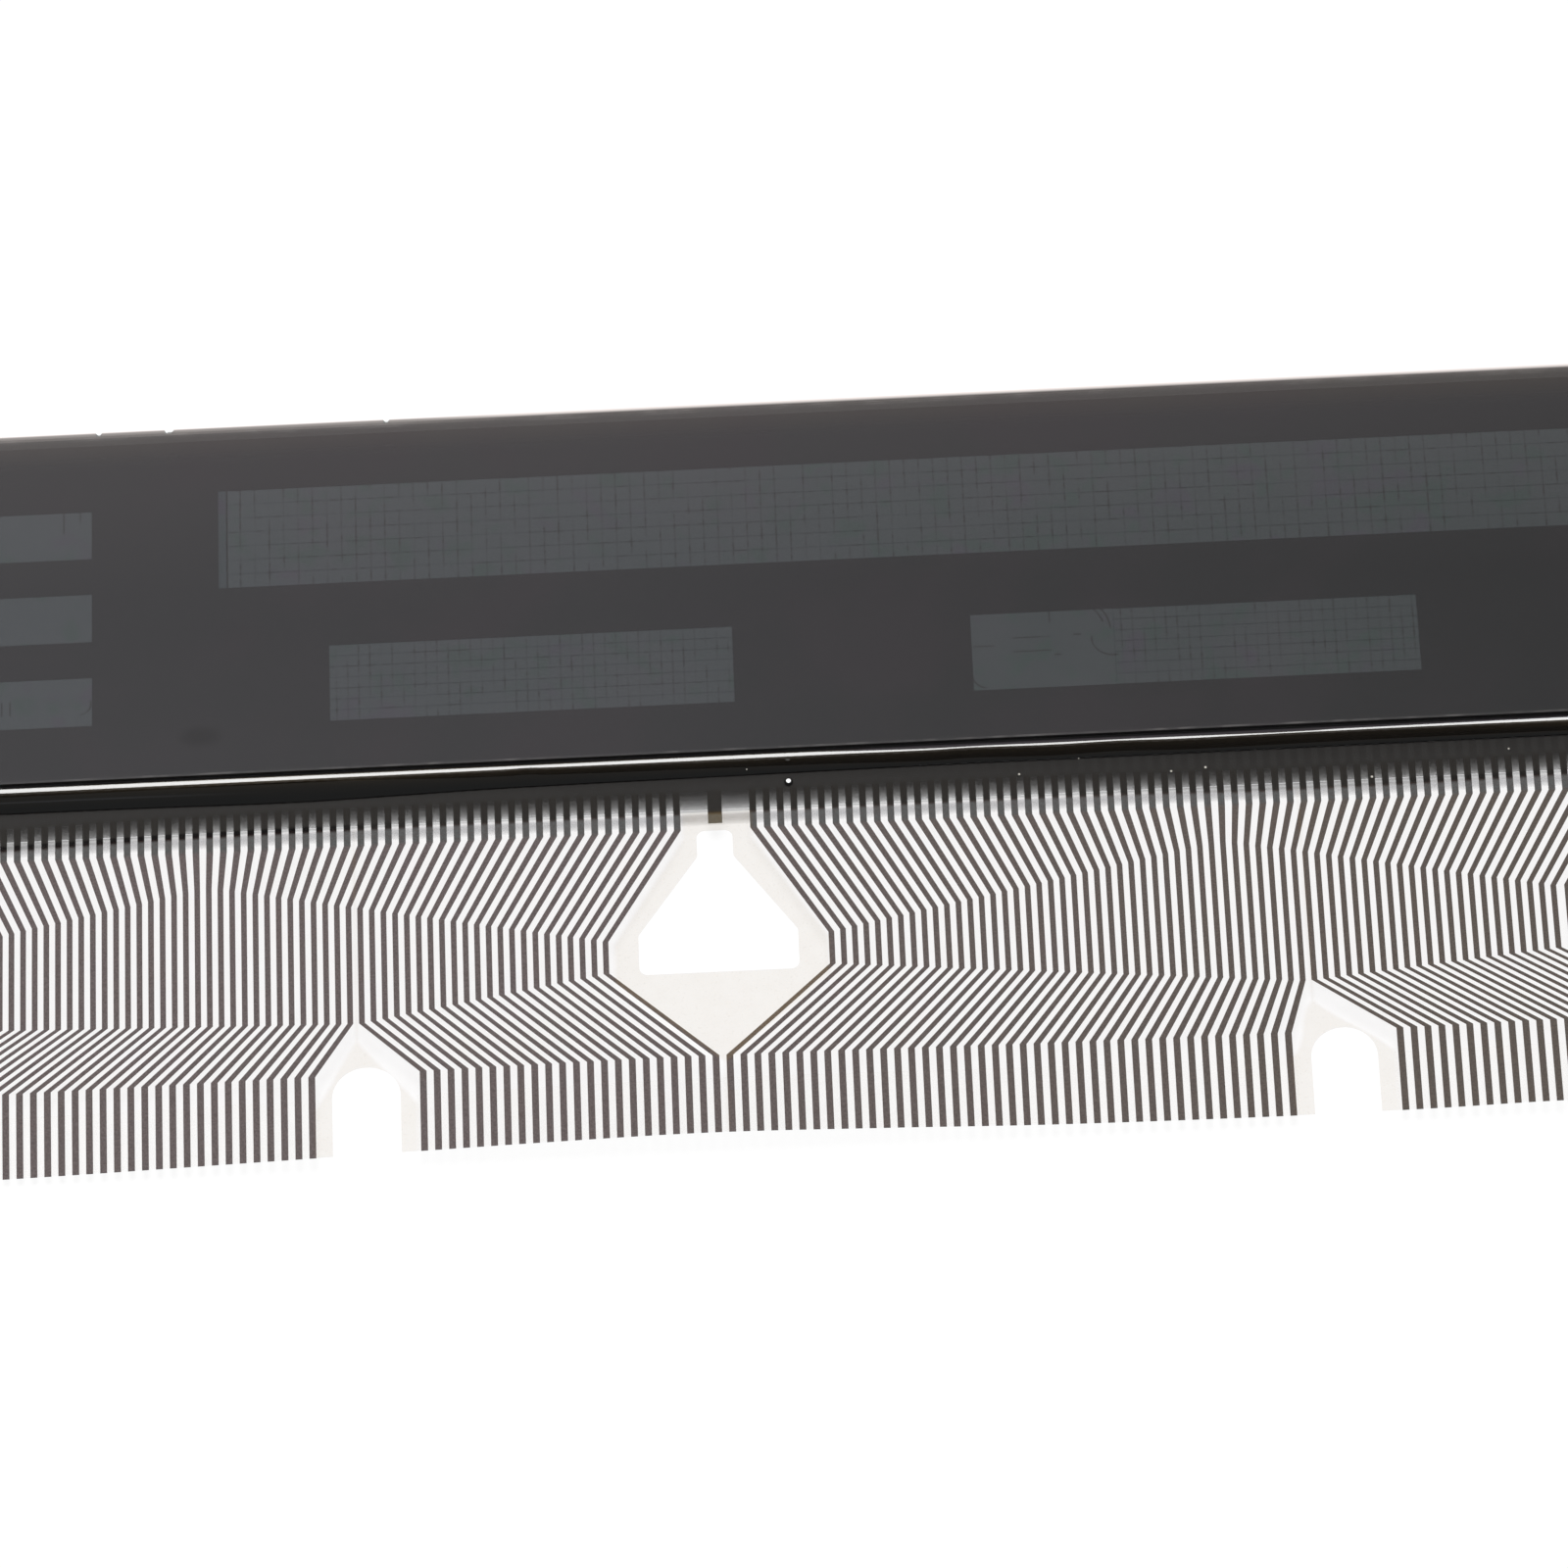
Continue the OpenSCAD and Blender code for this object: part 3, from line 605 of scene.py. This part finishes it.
def bubble_skin():
    """A bubble in the resin: a painted highlight in a black ring."""
    finish = Finish("resin_bubble", Roughness=0.1, IOR=1.5)
    # Painted highlight: white in the middle of the dome
    cap = finish.spot((BUBBLE.x, BUBBLE.y), (BUBBLE_HIGHLIGHT, BUBBLE_HIGHLIGHT), 0.3)
    return finish.show(Base_Color=finish.mix(cap, tone(6, 6, 6), WHITE))


def dust():
    finish = Finish("dust_flecks", Roughness=0.6)
    return finish.show(Base_Color=finish.mix(finish.clouds(0.05), tone(150, 148, 140), tone(205, 200, 190)))


# Mesh helpers

# Points closer together than this are joined, millimetres
WELD = 0.0005
# A point this close to a cut lies on it, millimetres
CUT_REACH = 0.0002


def finished(mesh, name, material, smooth=0.5):
    """Turns a bmesh in millimetres into a piece that rides with the part.

    Edges that turn by less than smooth, in radians, are shaded round.
    """
    bmesh.ops.recalc_face_normals(mesh, faces=mesh.faces)
    for face in mesh.faces:
        face.smooth = True
    for edge in mesh.edges:
        edge.smooth = len(edge.link_faces) == 2 and edge.calc_face_angle(math.pi) < smooth
    bmesh.ops.scale(mesh, vec=(MM, MM, MM), verts=mesh.verts)
    data = bpy.data.meshes.new(name)
    mesh.to_mesh(data)
    mesh.free()
    data.materials.append(material)
    piece = bpy.data.objects.new(name, data)
    scene.collection.objects.link(piece)
    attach(piece, "root")
    return piece


def merged_copy(name):
    """A copy of a CAD node's mesh in millimetres, with its loose triangles joined."""
    mesh = bmesh.new()
    mesh.from_mesh(nodes[name].data)
    bmesh.ops.scale(mesh, vec=(1/MM, 1/MM, 1/MM), verts=mesh.verts)
    bmesh.ops.remove_doubles(mesh, verts=mesh.verts, dist=WELD)
    return mesh


def cut_across(mesh, axis, places):
    """Adds edges where the planes across an axis, at those places, meet the mesh."""
    normal = Vector((axis == "x", axis == "y", axis == "z"))
    for place in places:
        bmesh.ops.bisect_plane(mesh, geom=mesh.verts[:] + mesh.edges[:] + mesh.faces[:], dist=CUT_REACH,
                               plane_co=normal*place, plane_no=normal)


def steps(start, end, step):
    """Even places from start to end, about a step apart."""
    count = max(1, round((end - start)/step))
    return [start + (end - start)*k/count for k in range(count + 1)]


def along_curve(points, x):
    """Height of a smooth curve through given (x, height) points."""
    if x <= points[0][0]:
        return points[0][1]
    if x >= points[-1][0]:
        return points[-1][1]
    k = max(i for i in range(len(points) - 1) if points[i][0] <= x)
    (x1, y1), (x2, y2) = points[k], points[k + 1]
    x0, y0 = points[max(k - 1, 0)]
    x3, y3 = points[min(k + 2, len(points) - 1)]
    slope1 = (y2 - y0)/(x2 - x0)
    slope2 = (y3 - y1)/(x3 - x1)
    t = (x - x1)/(x2 - x1)
    width = x2 - x1
    return ((2*t**3 - 3*t**2 + 1)*y1 + (t**3 - 2*t**2 + t)*width*slope1
            + (3*t**2 - 2*t**3)*y2 + (t**3 - t**2)*width*slope2)


# The ribbon, which waves gently past the ledge

# Rise of the free edge along the ribbon, millimetres
FREE_EDGE_WAVE = [(-56.5, -1.05), (-40.8, -0.77), (-27.8, -0.23), (-15.3, 0.32), (-7.8, 0.5), (0.2, 0.18),
                  (8.0, -0.22), (18.4, -0.43), (25.5, -0.36), (30.7, -0.19), (55.9, 0.1)]
# The rise grows with this power of the way out from the ledge
WAVE_POWER = 3
# About how far apart the ribbon's cuts lie, along the part and on the way out, millimetres
RIBBON_STEP_X = 1.0
RIBBON_STEP_Y = 1.25


def wave(x, y):
    """Rise of the ribbon at one place, millimetres."""
    out = max(0.0, LEDGE_Y - y)/(LEDGE_Y - FILM_LOW.y)
    return along_curve(FREE_EDGE_WAVE, x)*out**WAVE_POWER


def waved(name, material, sheet):
    """A flat CAD node of the ribbon, bent along its wave.

    A wide clear sheet is cut across x too, and throws no shadow. The traces are narrow enough without.
    """
    mesh = merged_copy(name)
    cut_across(mesh, "y", steps(LEDGE_Y, FILM_LOW.y, -RIBBON_STEP_Y)[1:-1])
    if sheet:
        cut_across(mesh, "x", steps(FILM_LOW.x, FILM_HIGH.x, RIBBON_STEP_X)[1:-1])
    for vertex in mesh.verts:
        vertex.co.z += wave(vertex.co.x, vertex.co.y)
    piece = finished(mesh, "waved_" + name, material)
    piece.visible_shadow = not sheet
    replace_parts(piece, name)


# The sealant bead, a section swept along the glass with a hand-poured edge

# How far the toe reaches over the film, and the bright shoulder's start and end, from the glass's edge
TOE_REACH = [(-56.0, 0.75), (-36.0, 0.76), (-27.0, 0.84), (-22.0, 0.72), (-17.5, 0.6), (-6.4, 0.5),
             (3.0, 0.43), (12.0, 0.42), (28.0, 0.4), (56.0, 0.4)]
SHOULDER_START = [(-56.0, 0.015), (-40.0, 0.015), (-27.0, 0.04), (-17.0, 0.05), (-3.0, 0.04), (0.5, 0.12),
                  (3.0, 0.16), (6.0, 0.14), (9.0, 0.15), (14.0, 0.14), (19.0, 0.175), (21.4, 0.16),
                  (22.0, 0.13), (24.0, 0.12), (33.0, 0.07), (56.0, 0.03)]
SHOULDER_END = [(-56.0, 0.21), (-36.0, 0.205), (-27.0, 0.2), (-17.0, 0.19), (-15.9, 0.16), (-15.0, 0.19),
                (-2.0, 0.2), (3.0, 0.23), (5.0, 0.2), (9.0, 0.24), (12.0, 0.2), (15.0, 0.24), (18.0, 0.23),
                (21.5, 0.21), (24.0, 0.2), (33.0, 0.2), (56.0, 0.22)]
# Shares of the way to the shoulder: where the level top ends, and how far it falls from there
TOP_SHARE = 0.6
TOP_FALL = 0.02
SHOULDER_SLOPE = math.tan(math.radians(16.5))
# How the brow turns down from the shoulder's end, as (distance out, drop) from it
BROW_TURN = [(0.03, 0.014), (0.045, 0.0265), (0.055, 0.04), (0.064, 0.06), (0.07, 0.08), (0.08, 0.13)]
# How far out from the shoulder's end the knee lies, its least height over the film, and its least drop from
# the brow
KNEE_OUT = 0.09
KNEE_LOWEST = 0.05
KNEE_DROP = 0.18
# Distance out for each millimetre that the flare falls
FLARE_SLOPE = 0.65
# The knee turns by more than this angle, in radians, and every other turn from the top to the toe by less
BEAD_SMOOTH = 0.34
# About how far apart the bead's sections lie
BEAD_STEP = 0.5
# The bead keeps this far from the film, and below the top of the node that it replaces
BEAD_GAP = 0.005
BEAD_LOW, BEAD_HIGH = box_mm("edge_sealant")


def knee_height(x):
    """How far above the film the steep cheek turns into the flare, at one place along the glass."""
    flare = along_curve(TOE_REACH, x) - along_curve(SHOULDER_END, x) - KNEE_OUT
    return max(KNEE_LOWEST, flare/FLARE_SLOPE)


def bead_section(x):
    """The bead's section at one place along the glass, as (distance out, height) points."""
    top = BEAD_HIGH.z - BEAD_GAP
    foot = FILM_HIGH.z + BEAD_GAP
    start = along_curve(SHOULDER_START, x)
    end = along_curve(SHOULDER_END, x)
    toe = along_curve(TOE_REACH, x)
    crest = top - TOP_FALL*start
    brow = crest - SHOULDER_SLOPE*(end - start)
    step_in = FRONT_LOW.y - FILM_HIGH.y - BEAD_GAP
    knee = min(foot + knee_height(x), brow - KNEE_DROP)
    brow_turn = [(end + out, brow - drop) for out, drop in BROW_TURN]
    return [(0.0, BEAD_LOW.z), (0.0, top), (start*TOP_SHARE, top), (start, crest),
            ((start + end)/2, (crest + brow)/2), (end, brow), *brow_turn,
            (end + KNEE_OUT, knee), (toe, foot), (step_in, foot), (step_in, BEAD_LOW.z)]


def add_bead():
    """A grid wrapped round the section: its columns run along the glass, its rows round the bead."""
    length = BEAD_HIGH.x - BEAD_LOW.x
    around = len(bead_section(0.0))
    columns = round(length/BEAD_STEP)
    mesh = bmesh.new()
    bmesh.ops.create_grid(mesh, x_segments=columns, y_segments=around, size=1.0)
    for vertex in mesh.verts:
        x = BEAD_LOW.x + length*(vertex.co.x + 1)/2
        k = round((vertex.co.y + 1)/2*around) % around
        out, height = bead_section(x)[k]
        vertex.co = (x, FRONT_LOW.y - out, height)
    bmesh.ops.remove_doubles(mesh, verts=mesh.verts, dist=WELD)
    bmesh.ops.holes_fill(mesh, edges=[e for e in mesh.edges if e.is_boundary], sides=0)
    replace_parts(finished(mesh, "poured_bead", sealant(), BEAD_SMOOTH), "edge_sealant")


# The front glass, with small chips in its far edge

# Place along the edge, width and depth of each chip, millimetres
GLASS_CHIPS = [(-36.2, 0.3, 0.08), (-32.8, 0.45, 0.14), (-22.3, 0.3, 0.08)]
# Shares of a chip's width: where it is cut across, and how far from its middle the edge is broken off
CHIP_CUTS = (-0.5, -0.15, 0.2, 0.5)
CHIP_BROKEN = 0.4
# How far from the edge the glass is cut behind the chips, as a share of the deepest one
CHIP_BACK = 1.5
# A point this near both faces lies on their edge
ON_EDGE = 0.001


def add_front_glass():
    """The front glass, with its upper far edge pushed in at each chip."""
    mesh = merged_copy("front_glass")
    for place, width, depth in GLASS_CHIPS:
        cut_across(mesh, "x", [place + width*share for share in CHIP_CUTS])
    deepest = max(depth for place, width, depth in GLASS_CHIPS)
    cut_across(mesh, "y", [FRONT_HIGH.y - deepest*CHIP_BACK])
    cut_across(mesh, "z", [FRONT_HIGH.z - deepest*CHIP_BACK])
    for vertex in mesh.verts:
        for place, width, depth in GLASS_CHIPS:
            on_edge = vertex.co.y > FRONT_HIGH.y - ON_EDGE and vertex.co.z > FRONT_HIGH.z - ON_EDGE
            if on_edge and abs(vertex.co.x - place) < width*CHIP_BROKEN:
                vertex.co.y -= depth
                vertex.co.z -= depth
    plate = finished(mesh, "chipped_front_glass", front_plate())
    plate.visible_shadow = False
    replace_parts(plate, "front_glass")


# Small things caught in the resin

# Middle of the bubble, its radius and the radius of its painted highlight, millimetres
BUBBLE = Vector((-3.65, -0.93, FILM_HIGH.z))
BUBBLE_R = 0.2
BUBBLE_HIGHLIGHT = 0.11
# Height of a dome as a share of its radius
DOME_FLATNESS = 0.5
# Place and radius of each fleck of dust, millimetres
FLECKS = [((10.1, -0.74, 2.0), 0.03), ((14.44, -1.36, 1.47), 0.06), ((16.07, -1.23, 1.47), 0.07),
          ((30.43, -0.99, 1.48), 0.05), ((7.26, -1.13, 1.47), 0.06), ((23.88, -2.2, 1.47), 0.07),
          ((-5.6, -0.475, 2.0), 0.035)]


def add_dome(mesh, place, radius, detail):
    """A flattened ball, half sunk in what it lies on."""
    made = bmesh.ops.create_icosphere(mesh, subdivisions=detail, radius=radius)["verts"]
    bmesh.ops.scale(mesh, vec=(1.0, 1.0, DOME_FLATNESS), verts=made)
    bmesh.ops.translate(mesh, vec=place, verts=made)


def add_bubble():
    mesh = bmesh.new()
    add_dome(mesh, BUBBLE, BUBBLE_R, detail=3)
    finished(mesh, "resin_bubble", bubble_skin())


def add_flecks():
    mesh = bmesh.new()
    for place, radius in FLECKS:
        add_dome(mesh, Vector(place), radius, detail=1)
    finished(mesh, "dust_flecks", dust())


# Floor, light and air

# Half the floor's side, and how far it lies below the part, metres
FLOOR_HALF = 2.5
FLOOR_DROP = 0.00002
# How much light the floor gives off, and how much it gives back
FLOOR_GLOW = 0.9
FLOOR_ALBEDO = 0.1
# Each lamp: its name, its azimuth and elevation in degrees, its side in metres and its brightness
LAMPS = [("overhead", 0.0, 90.0, 0.4, 20.0), ("back_left", -38.0, 55.0, 0.5, 2.0)]
# How far the lamps stand from the part, metres
LAMP_DISTANCE = 1.0
# How bright the air is for the part, and for the camera
AIR_GLOW = 0.3
AIR_SEEN = 1.0


def add_floor():
    """A white sheet that mostly glows, so that the part's shade on it is faint."""
    mesh = bmesh.new()
    bmesh.ops.create_grid(mesh, x_segments=1, y_segments=1, size=FLOOR_HALF)
    data = bpy.data.meshes.new("floor")
    mesh.to_mesh(data)
    mesh.free()
    floor = bpy.data.objects.new("floor", data)
    floor.location.z = -FLOOR_DROP
    scene.collection.objects.link(floor)
    paper = Finish("pale_floor", Roughness=1.0, Specular_IOR_Level=0.0, Emission_Strength=FLOOR_GLOW)
    paper.material.cycles.emission_sampling = "NONE"
    floor.data.materials.append(paper.show(Base_Color=(FLOOR_ALBEDO, FLOOR_ALBEDO, FLOOR_ALBEDO, 1.0),
                                           Emission_Color=WHITE))


def add_softbox(name, azimuth, elevation, side, radiance):
    """A square lamp that faces the middle of the part."""
    azimuth, elevation = math.radians(azimuth), math.radians(elevation)
    data = bpy.data.lights.new(name, "AREA")
    data.shape = "RECTANGLE"
    data.size = side
    data.size_y = side
    data.energy = radiance*math.pi*side*side
    lamp = bpy.data.objects.new(name, data)
    towards = Vector((math.cos(elevation)*math.sin(azimuth), math.cos(elevation)*math.cos(azimuth),
                      math.sin(elevation)))
    lamp.matrix_world = (Matrix.Translation(towards*LAMP_DISTANCE)
                         @ towards.to_track_quat("Z", "Y").to_matrix().to_4x4())
    scene.collection.objects.link(lamp)


def add_air():
    """Dim air round the part, which the camera sees as pale."""
    scene.world = bpy.data.worlds.new("studio_air")
    scene.world.use_nodes = True
    air = Nodes(scene.world.node_tree)
    background = air.tree.nodes["Background"]
    seen = air.node("ShaderNodeLightPath", output="Is Camera Ray")
    air.feed(background.inputs["Color"], WHITE)
    air.feed(background.inputs["Strength"], AIR_GLOW + seen*(AIR_SEEN - AIR_GLOW))


# Dressing the part

scene.view_settings.view_transform = "Standard"
add_camera()
add_floor()
for lamp in LAMPS:
    add_softbox(*lamp)
add_air()

column_coat = conductive_coat("column_coating", alpha=0.25, level=120)
row_coat = conductive_coat("row_coating", alpha=0.03, level=150)
pad_coat = conductive_coat("pad_coating", alpha=0.04, level=130)
ink = trace_ink()
# Of the CAD nodes shown as they are, those that throw no shadow
CLEAR_LAYERS = ("rear_glass", "contact_pads", "top_rows", "lower_left_rows", "lower_right_rows",
                "lower_right_common", "stacked_commons", "ledge_adhesive", "front_polarizer")
# The CAD nodes whose shape is shown as it is, with their finishes
CAD_FINISHES = {
    "rear_polarizer": rear_film(), "rear_glass": rear_plate(), "contact_pads": pad_coat,
    "cell_seal": seal_epoxy(), "port_plug": plug_resin(), "liquid_crystal": crystal(),
    "top_columns": column_coat, "top_rows": row_coat, "lower_left_columns": column_coat,
    "lower_left_rows": row_coat, "lower_right_columns": column_coat, "lower_right_rows": row_coat,
    "lower_right_segments": column_coat, "lower_right_common": row_coat, "stacked_segments": column_coat,
    "stacked_commons": row_coat, "black_mask": mask_ink(), "front_polarizer": front_film(),
    "ledge_adhesive": ledge_glue_shadow(), "alignment_mark": ink}
for name, material in CAD_FINISHES.items():
    nodes[name].data.materials.clear()
    nodes[name].data.materials.append(material)
    nodes[name].visible_shadow = name not in CLEAR_LAYERS

for side in ("left_outer", "left_inner", "right_inner", "right_outer"):
    waved(side + "_traces", ink, sheet=False)
waved("ribbon_film", clear_film(), sheet=True)
waved("board_adhesive", board_glue(), sheet=True)
add_bead()
add_front_glass()
add_bubble()
add_flecks()
